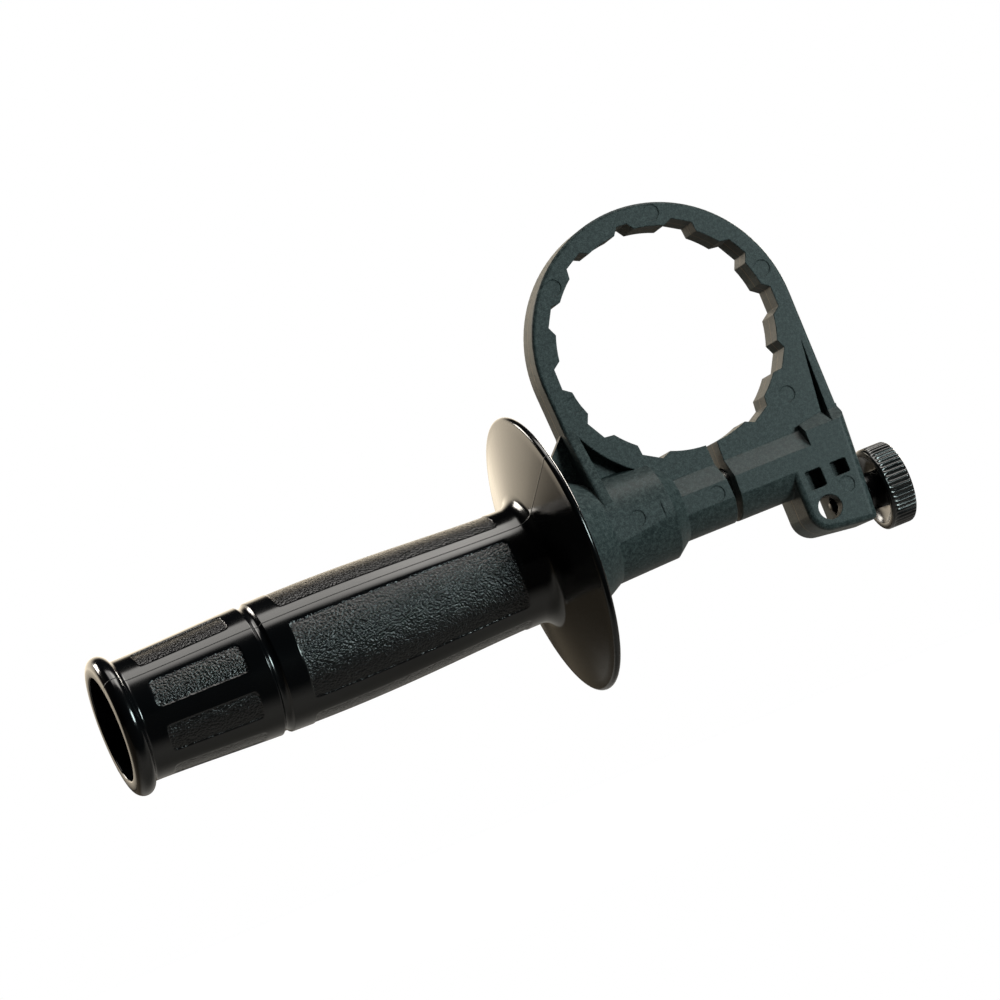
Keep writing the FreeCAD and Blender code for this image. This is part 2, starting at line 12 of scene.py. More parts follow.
import bmesh
import bpy
import numpy as np
from bpy.props import FloatProperty, FloatVectorProperty, IntProperty, PointerProperty
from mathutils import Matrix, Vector

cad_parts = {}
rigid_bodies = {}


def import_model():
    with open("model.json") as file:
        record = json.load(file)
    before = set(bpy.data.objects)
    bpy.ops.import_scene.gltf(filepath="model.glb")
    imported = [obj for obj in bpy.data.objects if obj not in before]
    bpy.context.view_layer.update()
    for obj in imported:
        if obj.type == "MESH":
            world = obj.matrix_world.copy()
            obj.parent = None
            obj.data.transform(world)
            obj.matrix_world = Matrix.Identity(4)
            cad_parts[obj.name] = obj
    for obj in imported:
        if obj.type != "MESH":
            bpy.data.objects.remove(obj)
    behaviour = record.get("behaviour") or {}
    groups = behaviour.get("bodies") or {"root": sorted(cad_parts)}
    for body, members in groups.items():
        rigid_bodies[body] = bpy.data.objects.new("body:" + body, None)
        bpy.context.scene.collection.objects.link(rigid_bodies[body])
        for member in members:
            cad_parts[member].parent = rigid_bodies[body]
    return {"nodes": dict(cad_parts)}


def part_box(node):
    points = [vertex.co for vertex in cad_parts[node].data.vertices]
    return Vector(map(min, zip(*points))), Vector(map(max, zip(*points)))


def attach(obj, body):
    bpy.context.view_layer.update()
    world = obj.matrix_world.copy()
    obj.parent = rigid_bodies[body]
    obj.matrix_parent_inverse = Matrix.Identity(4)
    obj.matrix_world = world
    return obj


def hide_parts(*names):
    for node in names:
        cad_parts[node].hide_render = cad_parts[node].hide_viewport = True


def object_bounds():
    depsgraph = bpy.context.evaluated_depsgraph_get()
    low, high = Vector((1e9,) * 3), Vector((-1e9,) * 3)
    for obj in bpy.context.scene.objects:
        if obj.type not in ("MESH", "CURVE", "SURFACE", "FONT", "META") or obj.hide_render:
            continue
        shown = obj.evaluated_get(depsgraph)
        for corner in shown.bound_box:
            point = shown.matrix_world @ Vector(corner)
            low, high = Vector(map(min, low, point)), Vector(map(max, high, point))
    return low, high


bl_info = {
    "name": "Drill side handle",
    "version": (1, 0, 0),
    "blender": (4, 5, 0),
    "location": "View3D > Sidebar > Side Handle",
    "description": "Finishes the moulded, turned and threaded pieces of a hammer drill's side handle",
    "category": "Object",
}

MM = 0.001
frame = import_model()
CAD_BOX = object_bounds()
NODES = frame["nodes"]
GRIP_LOW, GRIP_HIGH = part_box("grip")
KNOB_LOW, KNOB_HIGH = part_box("thumbscrew_knob")
BOLT_LOW, BOLT_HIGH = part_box("tie_bolt")
NUT_LOW, NUT_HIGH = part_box("grip_nut")
STUD_LOW, STUD_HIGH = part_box("thumbscrew_stud")
AXIS_Z = (GRIP_LOW.z + GRIP_HIGH.z) / 2
SCREW_Z = (STUD_LOW.z + STUD_HIGH.z) / 2

# Places along the grip, and small forms that it shares with its solid
NECK_X = -59.0 * MM
TAIL_X = -161.0 * MM
GROOVE_X = -128.0 * MM
GRIP_STATIONS = (TAIL_X, GROOVE_X, -113.0 * MM, -86.0 * MM, -70.0 * MM, NECK_X)
GROOVE_LIP = 0.16 * MM
PAD_LONG = (-120.8 * MM, -61.5 * MM)
PAD_SHORT = (-158.0 * MM, -134.2 * MM)
BEAD_FOOT = 1.0 * MM
MOUTH_EDGE = 0.35 * MM
SEAM_WIDTH = 0.22 * MM
SEAM_HEIGHT = 0.03 * MM
BOLT_HOLE = 4.4 * MM
LAND_RADIUS = 21.0 * MM
HUB_RADIUS = 10.0 * MM
CORE_RADIUS = 14.4 * MM
CORE_DRAFT = 0.25 * MM
CORE_DEPTH = 8.0 * MM
CORE_RIBS = 6
CORE_RIB_ANGLE = math.radians(12)
NUT_GAP = 0.05 * MM

# Small forms of the knob and the bolt
KNOB_LENGTH = 7.0 * MM
KNOB_CHAMFER = 0.9 * MM
KNOB_EDGE = 0.5 * MM
KNOB_LIP = 0.3 * MM
KNOB_HUB = 4.9 * MM
KNOB_HOLE = 2.53 * MM
KNOB_GAP = 0.03 * MM
KNOB_RIM = 0.9
DISH_RADIUS = 9.0 * MM
DISH_DEPTH = 1.4 * MM
BOLT_HEAD = 5.3 * MM
BOLT_THREAD = 26.0 * MM
BOLT_RADIUS = 4.0 * MM
BOLT_POINT = 0.9 * MM
BOLT_CHAMFER = 0.2 * MM
STUD_POINT = 1.3 * MM
STUD_SHANK = 2.0 * MM
THREAD_DEPTH = 0.58
THREAD_SMOOTH = 50

# Rows and columns of the grids
GRIP_COLUMNS = 144
BODY_STEP = 0.9 * MM
LAND_STEP = 3 * MM
CONE_STEP = 2 * MM
TAIL_STEP = 0.6 * MM
HOLLOW_STEP = 8 * MM
CORE_STEP = 0.003
CORE_LINE = 0.004
COLUMNS_PER_RIB = 10
RIB_STEP = 0.6 * MM
BOLT_COLUMNS = 96
STUD_COLUMNS = 72
ROWS_PER_PITCH = 12

# Grain of the finishes
NYLON_MOTTLE = 1.0 * MM
NYLON_GRAIN = 0.3 * MM
NYLON_RELIEF = 0.06 * MM
NYLON_EDGE = 0.4 * MM
SEAM_WAVE = 4 * MM
LEATHER_CELL = 0.58 * MM
LEATHER_BEND = 0.22 * MM
LEATHER_BEND_SIZE = 0.6 * MM
LEATHER_FINE = 0.22 * MM
LEATHER_RELIEF = 0.20 * MM
GRIP_SMEAR = 14 * MM
GRIP_RELIEF = 0.02 * MM
KNOB_SMEAR = 3 * MM
KNOB_GRAIN = 0.25 * MM
KNOB_RELIEF = 0.015 * MM
METAL_CLOUD = 2.5 * MM
METAL_SHADE = 0.82
TURNING_MARK = 1.5 * MM
TURNING_STRETCH = (12, 1, 1)
TURNING_RELIEF = 0.02 * MM

# Floor: its gap below the part, its fades by the distance from the bore's middle, and the painted shade
# that all but the camera see on it
FLOOR_RADIUS = 6.0
FLOOR_CORNERS = 96
FLOOR_GAP = 0.030
FLOOR_LIFT = 0.80
FLOOR_FADE = (0.14, 0.38)
SHADED_FLOOR_FADE = (0.22, 0.30)
# Painted shade on the floor that only reflections and bounce light see: dimmed near the part, darker
# further away
SHADED_NEAR_FLOOR = (0.30, 0.30, 0.295)
SHADED_FAR_FLOOR = (0.08, 0.07, 0.055)
# Painted shade: a dark patch on the floor in front of the part, which only reflections and bounce light
# see
PAINTED_FRONT_SHADE = (0.02, 0.02, 0.02)
PAINTED_FRONT_SHADE_FADE = (-0.03, -0.07)

# Lamps, surroundings and camera
LAMP_DISTANCE = 1.3
LAMP_SIDE = 0.4
KEY_DIRECTION = (0.60, -0.80, 0.05)
KEY_COLOUR = (0.82, 1.0, 0.99)
BACK_LEFT = (-0.50, 0.60, 0.62)
BACK_RIGHT = (0.75, 0.60, 0.25)
BACK_COLOUR = (1.0, 0.94, 0.85)
WHITE = (1.0, 1.0, 1.0)
DARK_ROOM = (0.006, 0.006, 0.006)
SOFT_BOX_COLOUR = (1.0, 0.97, 0.92)
SOFT_BOX_MIDDLE = (0.25, -0.14)
SOFT_BOX_FADE_X = (0.46, 0.32)
SOFT_BOX_FADE_Y = (0.32, 0.18)
SOFT_BOX_FADE_Z = (0.5, 0.6)
SOFT_BOX_BRIGHTER = (0.24, 0.40, 1.0, 1.8)
SHEET_FADE_Y = (0.70, 0.86)
SHEET_FOOT = (-0.02, 0.10)
SHEET_TOP = (0.66, 0.36)
CAMERA_TURN = (92.76877, 22.16597, -14.30927)
SENSOR_WIDTH = 36
CLIP_START = 0.01


# Settings that a user would change

def length_setting(name, description, default):
    """A length in metres."""
    return FloatProperty(name=name, description=description, default=default, min=0,
                         subtype="DISTANCE", unit="LENGTH", precision=5)


def angle_setting(name, description, degrees):
    """An angle, given in degrees and kept in radians."""
    return FloatProperty(name=name, description=description, default=math.radians(degrees),
                         subtype="ANGLE", unit="ROTATION")


def colour_setting(name, description, default):
    """A colour of three linear numbers."""
    return FloatVectorProperty(name=name, description=description, default=default, size=3,
                               min=0, max=1, subtype="COLOR")


class SideHandleSizes(bpy.types.PropertyGroup):
    """Sizes of the turned and threaded pieces."""

    guard_radius: length_setting(
        "Guard radius", "Outer radius of the guard flange", (GRIP_HIGH.z - GRIP_LOW.z) / 2)
    guard_thickness: length_setting("Guard thickness", "Thickness of the guard flange", 1.8 * MM)
    guard_fillet: length_setting(
        "Guard fillet", "Radius between the grip's neck and the guard", 4.2 * MM)
    guard_slope: angle_setting("Guard slope", "Lean of the guard's cone from square to the grip", 14)
    tail_radius: length_setting("Tail radius", "Radius of the grip beside its end bead", 15.6 * MM)
    lip_radius: length_setting("Lip radius", "Radius of the grip at the edges of its groove", 16.85 * MM)
    belly_radius: length_setting("Belly radius", "Largest radius of the grip", 17.1 * MM)
    swell_radius: length_setting("Swell radius", "Radius of the grip between belly and waist", 16.4 * MM)
    waist_radius: length_setting("Waist radius", "Radius of the grip near its neck", 15.6 * MM)
    neck_radius: length_setting(
        "Neck radius", "Radius of the grip where the guard's fillet starts", 15.2 * MM)
    bead_radius: length_setting("Bead radius", "Radius of the round bead at the grip's mouth", 2.5 * MM)
    mouth_radius: length_setting("Mouth radius", "Radius of the hollow at its mouth", 13.45 * MM)
    hollow_radius: length_setting("Hollow radius", "Radius of the hollow at its inner end", 12.2 * MM)
    groove_width: length_setting("Groove width", "Width of the groove round the grip", 2.6 * MM)
    groove_depth: length_setting("Groove depth", "Depth of the groove round the grip", 0.8 * MM)
    pad_depth: length_setting("Pad depth", "How far the grained panels are sunk", 0.2 * MM)
    pad_edge: length_setting("Pad edge", "Width of the soft step round each panel", 0.55 * MM)
    pad_corner: length_setting("Pad corner", "Corner radius of the grained panels", 1.2 * MM)
    pad_angle: angle_setting("Pad angle", "Angle that one panel or pair covers round the grip", 70)
    short_pad_angle: angle_setting("Short pad angle", "Angle that one short panel covers", 26)
    seam_angle: angle_setting("Seam angle", "The parting line's place, from +Z towards -Y", 53)
    pad_count: IntProperty(name="Panels", description="Grained panels in one row", default=4, min=1)
    knob_ribs: IntProperty(
        name="Knob ribs", description="Ribs round the thumbscrew's knob", default=48, min=6)
    knob_rib_depth: length_setting("Knob rib depth", "Depth between the knob's ribs", 0.45 * MM)
    bolt_pitch: length_setting("Bolt pitch", "Thread pitch of the clamping bolt", 1.25 * MM)
    stud_pitch: length_setting("Stud pitch", "Thread pitch of the thumbscrew", 0.8 * MM)


class SideHandleColours(bpy.types.PropertyGroup):
    """Colours of the finishes."""

    nylon: colour_setting("Collar", "Glass-filled nylon of the collar", (0.018, 0.026, 0.027))
    nylon_light: colour_setting(
        "Collar, light", "Where glass fibre shows at the surface", (0.066, 0.084, 0.083))
    # Painted highlight: a warm brown line along the collar's parting line, where the mould's seam
    # catches the light
    seam: colour_setting(
        "Parting line", "Thin line where the two halves of the mould met", (0.22, 0.155, 0.10))
    grip: colour_setting("Grip", "Black plastic of the grip", (0.002, 0.0023, 0.0028))
    knob: colour_setting("Knob", "Black plastic of the knob", (0.004, 0.0042, 0.0045))
    zinc: colour_setting("Zinc", "Zinc plate on the bolt and its nut", (0.62, 0.62, 0.59))
    black_steel: colour_setting(
        "Black steel", "Black oxide on the thumbscrew's stud", (0.05, 0.05, 0.052))
    brass: colour_setting("Brass", "Turned brass of the threaded insert", (0.72, 0.54, 0.26))


class SideHandleStage(bpy.types.PropertyGroup):
    """The camera's place and the light."""

    camera_place: FloatVectorProperty(
        name="Camera", description="Place of the camera", size=3, subtype="XYZ",
        default=(-0.34717, -1.06271, -0.07188), unit="LENGTH")
    lens: FloatProperty(
        name="Lens", description="Focal length in millimetres", default=158.4, min=1)
    key_watts: FloatProperty(
        name="Key", description="Power of the lamp in front", default=14, min=0)
    back_watts: FloatProperty(
        name="Back", description="Power of each lamp behind", default=9, min=0)
    soft_box: FloatProperty(
        name="Soft box", description="Brightness of the soft box overhead", default=4.4, min=0)
    sheet: FloatProperty(
        name="Sheet", description="Brightness of the warm sheet behind", default=1.9, min=0)
    backdrop: colour_setting("Backdrop", "Colour of the warm sheet behind", (1.0, 0.87, 0.68))
    floor: colour_setting("Floor", "Colour of the pale floor", (0.86, 0.86, 0.86))


# Shader maths

def rgba(colour):
    """An opaque colour of four numbers."""
    return (*colour[:3], 1.0)


class Value:
    """One output of a shader node; Python's operators on it add Math nodes."""

    def __init__(self, tree, socket):
        self.tree = tree
        self.socket = socket

    def _math(self, operation, *operands):
        settings = {"operation": operation}
        return self.tree.node("ShaderNodeMath", settings, dict(enumerate(operands)))

    def __add__(self, other):
        return self._math("ADD", self, other)

    __radd__ = __add__

    def __sub__(self, other):
        return self._math("SUBTRACT", self, other)

    def __rsub__(self, other):
        return self._math("SUBTRACT", other, self)

    def __mul__(self, other):
        return self._math("MULTIPLY", self, other)

    __rmul__ = __mul__

    def __abs__(self):
        return self._math("ABSOLUTE", self)


class Tree:
    """A material's or world's node tree, emptied and ready for nodes."""

    def __init__(self, owner):
        owner.use_nodes = True
        self.nodes = owner.node_tree.nodes
        self.links = owner.node_tree.links
        self.nodes.clear()

    def node(self, kind, settings=None, inputs=None, output=0):
        """Add a node: its settings first, then values or links into its sockets."""
        node = self.nodes.new(kind)
        for key, value in (settings or {}).items():
            setattr(node, key, value)
        for key, value in (inputs or {}).items():
            if isinstance(value, Value):
                self.links.new(value.socket, node.inputs[key])
            else:
                node.inputs[key].default_value = value
        return Value(self, node.outputs[output]) if node.outputs else None

    def objects(self):
        """Object coordinates, in metres."""
        return self.node("ShaderNodeTexCoord", output="Object")

    def axis(self, name, coordinates):
        """The X, Y or Z of some coordinates."""
        return self.node("ShaderNodeSeparateXYZ", inputs={0: coordinates}, output=name)

    def attribute(self, name):
        """A number that the mesh keeps for its points."""
        return self.node("ShaderNodeAttribute", {"attribute_name": name}, output="Fac")

    def noise(self, coordinates, size, detail=3.0, roughness=0.5):
        """Noise of about that grain size in metres, from 0 to 1."""
        return self.node("ShaderNodeTexNoise", inputs={
            "Vector": coordinates, "Scale": 1 / size, "Detail": detail, "Roughness": roughness})

    def bent(self, coordinates, size, reach):
        """Coordinates moved by up to that reach, by a coloured noise of that grain size."""
        noise = self.node("ShaderNodeTexNoise", inputs={
            "Vector": coordinates, "Scale": 1 / size}, output="Color")
        shift = self.node("ShaderNodeVectorMath", {"operation": "SCALE"}, {
            0: noise, "Scale": reach})
        return self.node("ShaderNodeVectorMath", {"operation": "ADD"}, {0: coordinates, 1: shift})

    def cells(self, coordinates, size):
        """Distance from the middle of the nearest cell, for cells of about that size in metres."""
        return self.node("ShaderNodeTexVoronoi", {"feature": "F1"}, {
            "Vector": coordinates, "Scale": 1 / size}, "Distance")

    def ramp(self, value, low, high, start=0.0, end=1.0):
        """Map value smoothly from low..high to start..end, held at both ends."""
        return self.node("ShaderNodeMapRange", {"interpolation_type": "SMOOTHSTEP"}, {
            "Value": value, "From Min": low, "From Max": high, "To Min": start, "To Max": end})

    def mix_colour(self, factor, first, second):
        """The first colour where the factor is 0, and the second where it is 1."""
        first = first if isinstance(first, Value) else rgba(first)
        second = second if isinstance(second, Value) else rgba(second)
        return self.node("ShaderNodeMix", {"data_type": "RGBA", "clamp_factor": False}, {
            "Factor": factor, 6: first, 7: second}, 2)

    def bump(self, height, distance, strength=1.0, normal=None):
        """A normal for a height whose unit is that distance in metres."""
        inputs = {"Height": height, "Distance": distance, "Strength": strength}
        if normal is not None:
            inputs["Normal"] = normal
        return self.node("ShaderNodeBump", inputs=inputs)

    def principled(self, **inputs):
        """The material's surface, with those values or links in its sockets."""
        shader = self.node("ShaderNodeBsdfPrincipled", inputs=inputs)
        self.node("ShaderNodeOutputMaterial", inputs={"Surface": shader})


def plastic_nylon(colours):
    """Matte glass-filled nylon: fine mottle, and a painted warm highlight along the parting line at the
    middle of its width.
    """
    material = bpy.data.materials.new("glass_filled_nylon_finish")
    tree = Tree(material)
    place = tree.objects()
    cloud = tree.noise(place, NYLON_MOTTLE, detail=5, roughness=0.65)
    grain = tree.noise(place, NYLON_GRAIN, detail=4, roughness=0.6)
    mottle = cloud * 0.5 + grain * 0.5
    waver = (tree.noise(place, SEAM_WAVE) - 0.5) * SEAM_WIDTH
    from_seam = abs(tree.axis("Y", place) + waver)
    seam = tree.ramp(from_seam, SEAM_WIDTH * 0.7, SEAM_WIDTH * 0.3)
    fibre = tree.ramp(mottle, 0.40, 0.66)
    plain = tree.mix_colour(fibre, colours.nylon, colours.nylon_light)
    # painted highlight: the warm brown line along the parting line at the middle of the collar's width
    colour = tree.mix_colour(seam, plain, colours.seam)
    rounded = tree.node("ShaderNodeBevel", {"samples": 6}, {"Radius": NYLON_EDGE})
    normal = tree.bump(mottle, NYLON_RELIEF, 0.8, rounded)
    tree.principled(**{"Base Color": colour, "Roughness": tree.ramp(cloud, 0.3, 0.7, 0.38, 0.50),
                       "Specular IOR Level": 0.14, "Normal": normal})
    return material


def plastic_grip(colours):
    """Glossy black plastic, with a leather grain inside the sunk panels."""
    material = bpy.data.materials.new("grip_plastic_finish")
    tree = Tree(material)
    place = tree.objects()
    panel = tree.attribute("panel")
    seam = tree.attribute("seam")
    leather = tree.cells(tree.bent(place, LEATHER_BEND_SIZE, LEATHER_BEND), LEATHER_CELL)
    fine = tree.noise(place, LEATHER_FINE)
    smear = tree.noise(place, GRIP_SMEAR, detail=2)
    leather_bump = tree.bump((fine * 0.5 - leather) * panel, LEATHER_RELIEF)
    normal = tree.bump(smear + fine * 0.02, GRIP_RELIEF, 0.6, leather_bump)
    roughness = tree.ramp(smear, 0.3, 0.7, 0.11, 0.17) + panel * 0.04 + seam * 0.5
    tree.principled(**{"Base Color": rgba(colours.grip), "Roughness": roughness, "Normal": normal})
    return material


def plastic_knob(colours):
    """Glossy black plastic of the ribbed knob."""
    material = bpy.data.materials.new("knob_plastic_finish")
    tree = Tree(material)
    place = tree.objects()
    smear = tree.noise(place, KNOB_SMEAR)
    normal = tree.bump(smear + tree.noise(place, KNOB_GRAIN) * 0.3, KNOB_RELIEF, 0.6)
    roughness = tree.ramp(smear, 0.3, 0.7, 0.16, 0.26)
    tree.principled(**{"Base Color": rgba(colours.knob), "Roughness": roughness, "Normal": normal})
    return material


def bright_metal(name, colour, roughness):
    """Plated or turned metal with faint turning marks and small colour changes."""
    material = bpy.data.materials.new(name)
    tree = Tree(material)
    place = tree.objects()
    cloud = tree.noise(place, METAL_CLOUD)
    drawn = tree.node("ShaderNodeMapping", inputs={"Vector": place, "Scale": TURNING_STRETCH})
    marks = tree.noise(drawn, TURNING_MARK)
    shade = tree.mix_colour(cloud, [c * METAL_SHADE for c in colour], colour)
    normal = tree.bump(marks, TURNING_RELIEF, 0.5)
    tree.principled(**{"Base Color": shade, "Metallic": 1.0,
                       "Roughness": tree.ramp(marks, 0.3, 0.7, roughness * 0.8, roughness * 1.3),
                       "Normal": normal})
    return material


def dress(piece, material):
    """Give an object one material only."""
    piece.data.materials.clear()
    piece.data.materials.append(material)


# Surfaces

def turned_points(x, radius, angles, axis_z):
    """P(i, j) = (x, -r sin a, z0 + r cos a): a profile turned about the line z = z0 along X.

    x and radius broadcast to rows by columns, and the angles run along the columns.
    """
    shape = np.broadcast(x, radius, angles).shape
    points = np.empty(shape + (3,))
    points[..., 0] = x
    points[..., 1] = -radius * np.sin(angles)
    points[..., 2] = axis_z + radius * np.cos(angles)
    return points


def grid_faces(rows, columns, loop):
    """Quads between neighbouring rows of a grid that is closed round its columns.

    Quad (i, j) joins the points (i, j), (i, j+1), (i+1, j+1) and (i+1, j), with the column after
    the last one being the first. With loop, the last row also joins the first.
    """
    i = np.arange(rows if loop else rows - 1)[:, None]
    j = np.arange(columns)[None, :]
    below = (i + 1) % rows
    beside = (j + 1) % columns
    corners = [i * columns + j, i * columns + beside, below * columns + beside, below * columns + j]
    return np.stack(np.broadcast_arrays(*corners), axis=-1).reshape(-1, 4)


def turned_mesh(name, points, loop=False, attributes=None, smooth_angle=35):
    """A closed mesh object from a grid of points whose first and last rows meet on the axis.

    With loop, the rows close on themselves instead. Coincident points are merged and the faces
    are made to point outwards. The attributes are numbers for the points, kept by name.
    """
    rows, columns = points.shape[:2]
    mesh = bpy.data.meshes.new(name)
    mesh.from_pydata(points.reshape(-1, 3).tolist(), [], grid_faces(rows, columns, loop).tolist())
    for label, values in (attributes or {}).items():
        layer = mesh.attributes.new(label, "FLOAT", "POINT")
        layer.data.foreach_set("value", values.astype(np.float32).ravel())
    work = bmesh.new()
    work.from_mesh(mesh)
    bmesh.ops.remove_doubles(work, verts=work.verts, dist=1e-7)
    bmesh.ops.recalc_face_normals(work, faces=work.faces)
    work.to_mesh(mesh)
    work.free()
    piece = bpy.data.objects.new(name, mesh)
    bpy.context.scene.collection.objects.link(piece)
    mesh.shade_smooth()
    mesh.set_sharp_from_angle(angle=math.radians(smooth_angle))
    return piece


def arc(x, radius, size, start, end, count):
    """Points of an arc of that size about (x, radius), angles from +X towards larger radius."""
    turn = np.radians(np.linspace(start, end, count))
    return np.stack([x + size * np.cos(turn), radius + size * np.sin(turn)], axis=1)


def straight(start, end, step):
    """Points at equal distances from start to end, both included, no more than step apart."""
    count = max(2, int(math.ceil(math.dist(start, end) / step)) + 1)
    return np.linspace(start, end, count)


def smooth_step(value, low, high):
    """0 below low, 1 above high, and 3t^2 - 2t^3 between them."""
    t = np.clip((value - low) / (high - low), 0, 1)
    return t * t * (3 - 2 * t)


def hexagon_radius(angles, flats):
    """r(a) = (flats / 2) / cos(a'), with a' the angle from the nearest flat's middle."""
    sixth = math.pi / 3
    return flats / 2 / np.cos((angles % sixth) - sixth / 2)


def thread_radius(x, angles, outer, pitch, depth):
    """r = outer - depth * clip(1.15 - 1.3 c, 0, 1) of a right-hand V thread, clip holding 0..1.

    c = 1 - |2 f - 1|, with f the fractional part of x / pitch - a / 2 pi, is 1 on the crest and 0
    at the root. The crest is a helix that climbs one pitch each turn, and both ends are flat.
    """
    turn = (x / pitch - angles / (2 * math.pi)) % 1.0
    crest = 1 - np.abs(2 * turn - 1)
    return outer - depth * np.clip(1.15 - 1.3 * crest, 0, 1)


def round_angles(count, extra=()):
    """The angles 2 pi i / count of one turn, with some more where a piece needs them."""
    even = np.arange(count) * 2 * math.pi / count
    return np.unique(np.round(np.concatenate([even, *extra]) % (2 * math.pi), 6))


# Grip

def grip_profile(sizes):
    """The grip's outer curve r(x): the one quintic polynomial through its six stations."""
    radii = (sizes.tail_radius, sizes.lip_radius, sizes.belly_radius, sizes.swell_radius,
             sizes.waist_radius, sizes.neck_radius)
    return np.polynomial.Polynomial.fit(GRIP_STATIONS, radii, len(radii) - 1)


def panel_depth(sizes, x, arc_length, radius_here, ends, width):
    """A rounded panel on the grip: 1 inside, 0 outside, with a soft step between them.

    With q = |p| - (half size - corner), the distance to a panel's outline is
    |max(q, 0)| + min(max(q.x, q.y), 0) - corner, and the step runs across its zero line.
    """
    middle = (ends[0] + ends[1]) / 2
    across = np.abs(arc_length) - (radius_here * width / 2 - sizes.pad_corner)
    along = np.abs(x - middle) - ((ends[1] - ends[0]) / 2 - sizes.pad_corner)
    outside = np.hypot(np.maximum(across, 0), np.maximum(along, 0))
    distance = outside + np.minimum(np.maximum(across, along), 0) - sizes.pad_corner
    return smooth_step(-distance, -sizes.pad_edge / 2, sizes.pad_edge / 2)


def cluster(middle, half_width, count):
    """Grid lines at equal distances across a soft step or a seam."""
    return middle + np.linspace(-half_width, half_width, count)


def grip_outline(sizes):
    """Rows (x, r) round the grip's wall: hub, outer side, hollow, nut pocket and bolt hole.

    The guard is a cone that leans by its slope, with a fillet of the radius f at the neck. It
    meets the fillet at r = neck + f (1 - sin slope). The guard's back is dished by that slope.
    """
    back = GRIP_HIGH.x
    mouth = GRIP_LOW.x
    face = back - sizes.guard_thickness
    rim = sizes.guard_thickness / 2
    rim_r = sizes.guard_radius - rim
    slope = sizes.guard_slope
    cone = rim_r - sizes.neck_radius - sizes.guard_fillet * (1 - math.sin(slope))
    cone_x = face - cone * math.tan(slope)
    fillet_x = cone_x - sizes.guard_fillet * math.cos(slope)
    dish_x = back - (rim_r - LAND_RADIUS) * math.tan(slope)
    bead_x = mouth + sizes.bead_radius
    foot_x = bead_x + math.sqrt((sizes.bead_radius + BEAD_FOOT) ** 2 - BEAD_FOOT ** 2)
    foot_turn = math.degrees(math.asin(BEAD_FOOT / (sizes.bead_radius + BEAD_FOOT)))
    curve = grip_profile(sizes)
    spots = [np.arange(NECK_X, TAIL_X, -BODY_STEP),
             cluster(GROOVE_X, sizes.groove_width * 0.75, 36)]
    spots += [cluster(end, sizes.pad_edge / 2, 5) for end in PAD_LONG + PAD_SHORT]
    body_x = np.unique(np.round(np.concatenate(spots), 7))[::-1]
    body_r = curve(body_x) - groove_depth(sizes, body_x)
    body = np.stack([body_x, body_r], axis=1)
    hub = [(back, BOLT_HOLE), (back, HUB_RADIUS), (back, HUB_RADIUS), (back, CORE_RADIUS),
           (back, CORE_RADIUS + CORE_DRAFT)]
    outer = [
        straight((back, CORE_RADIUS + 2 * CORE_DRAFT), (back, LAND_RADIUS), LAND_STEP),
        straight((dish_x, LAND_RADIUS), (back, rim_r), CONE_STEP),
        arc(back - rim, rim_r, rim, 0, 180, 13)[1:],
        straight((face, rim_r), (cone_x, rim_r - cone), CONE_STEP)[1:],
        arc(fillet_x, sizes.neck_radius + sizes.guard_fillet, sizes.guard_fillet,
            -math.degrees(slope), -90, 19)[1:],
        body,
        straight((TAIL_X, sizes.tail_radius), (foot_x, sizes.tail_radius), TAIL_STEP)[1:],
        arc(foot_x, sizes.tail_radius + BEAD_FOOT, BEAD_FOOT, 270, 180 + foot_turn, 8)[1:],
        arc(bead_x, sizes.tail_radius, sizes.bead_radius, foot_turn, 180, 25)[1:],
    ]
    inner = [
        arc(mouth + MOUTH_EDGE, sizes.mouth_radius + MOUTH_EDGE, MOUTH_EDGE, 180, 270, 7),
        straight((mouth + 2 * MOUTH_EDGE, sizes.mouth_radius),
                 (NUT_LOW.x, sizes.hollow_radius), HOLLOW_STEP),
    ]
    pocket = [(NUT_LOW.x, 0), (NUT_HIGH.x, 0)]
    end = [(NUT_HIGH.x, BOLT_HOLE)]
    return [np.array(hub), np.concatenate(outer), np.concatenate(inner),
            np.array(pocket), np.array(end)]


def groove_depth(sizes, x):
    """A round-bottomed groove, sqrt(R^2 - s^2) - (R - d) deep at s from its middle.

    With half width w and depth d, R = (w^2 + d^2) / 2d puts the circle through both lips. The
    curve is averaged over a short length, so that the lips are soft.
    """
    half = sizes.groove_width / 2
    circle = (half ** 2 + sizes.groove_depth ** 2) / (2 * sizes.groove_depth)
    shifts = np.linspace(-GROOVE_LIP, GROOVE_LIP, 9)
    away = np.abs(x[:, None] + shifts - GROOVE_X)
    sagging = np.sqrt(np.maximum(circle ** 2 - away ** 2, 0)) - (circle - sizes.groove_depth)
    return np.where(away < half, np.maximum(sagging, 0), 0).mean(axis=1)


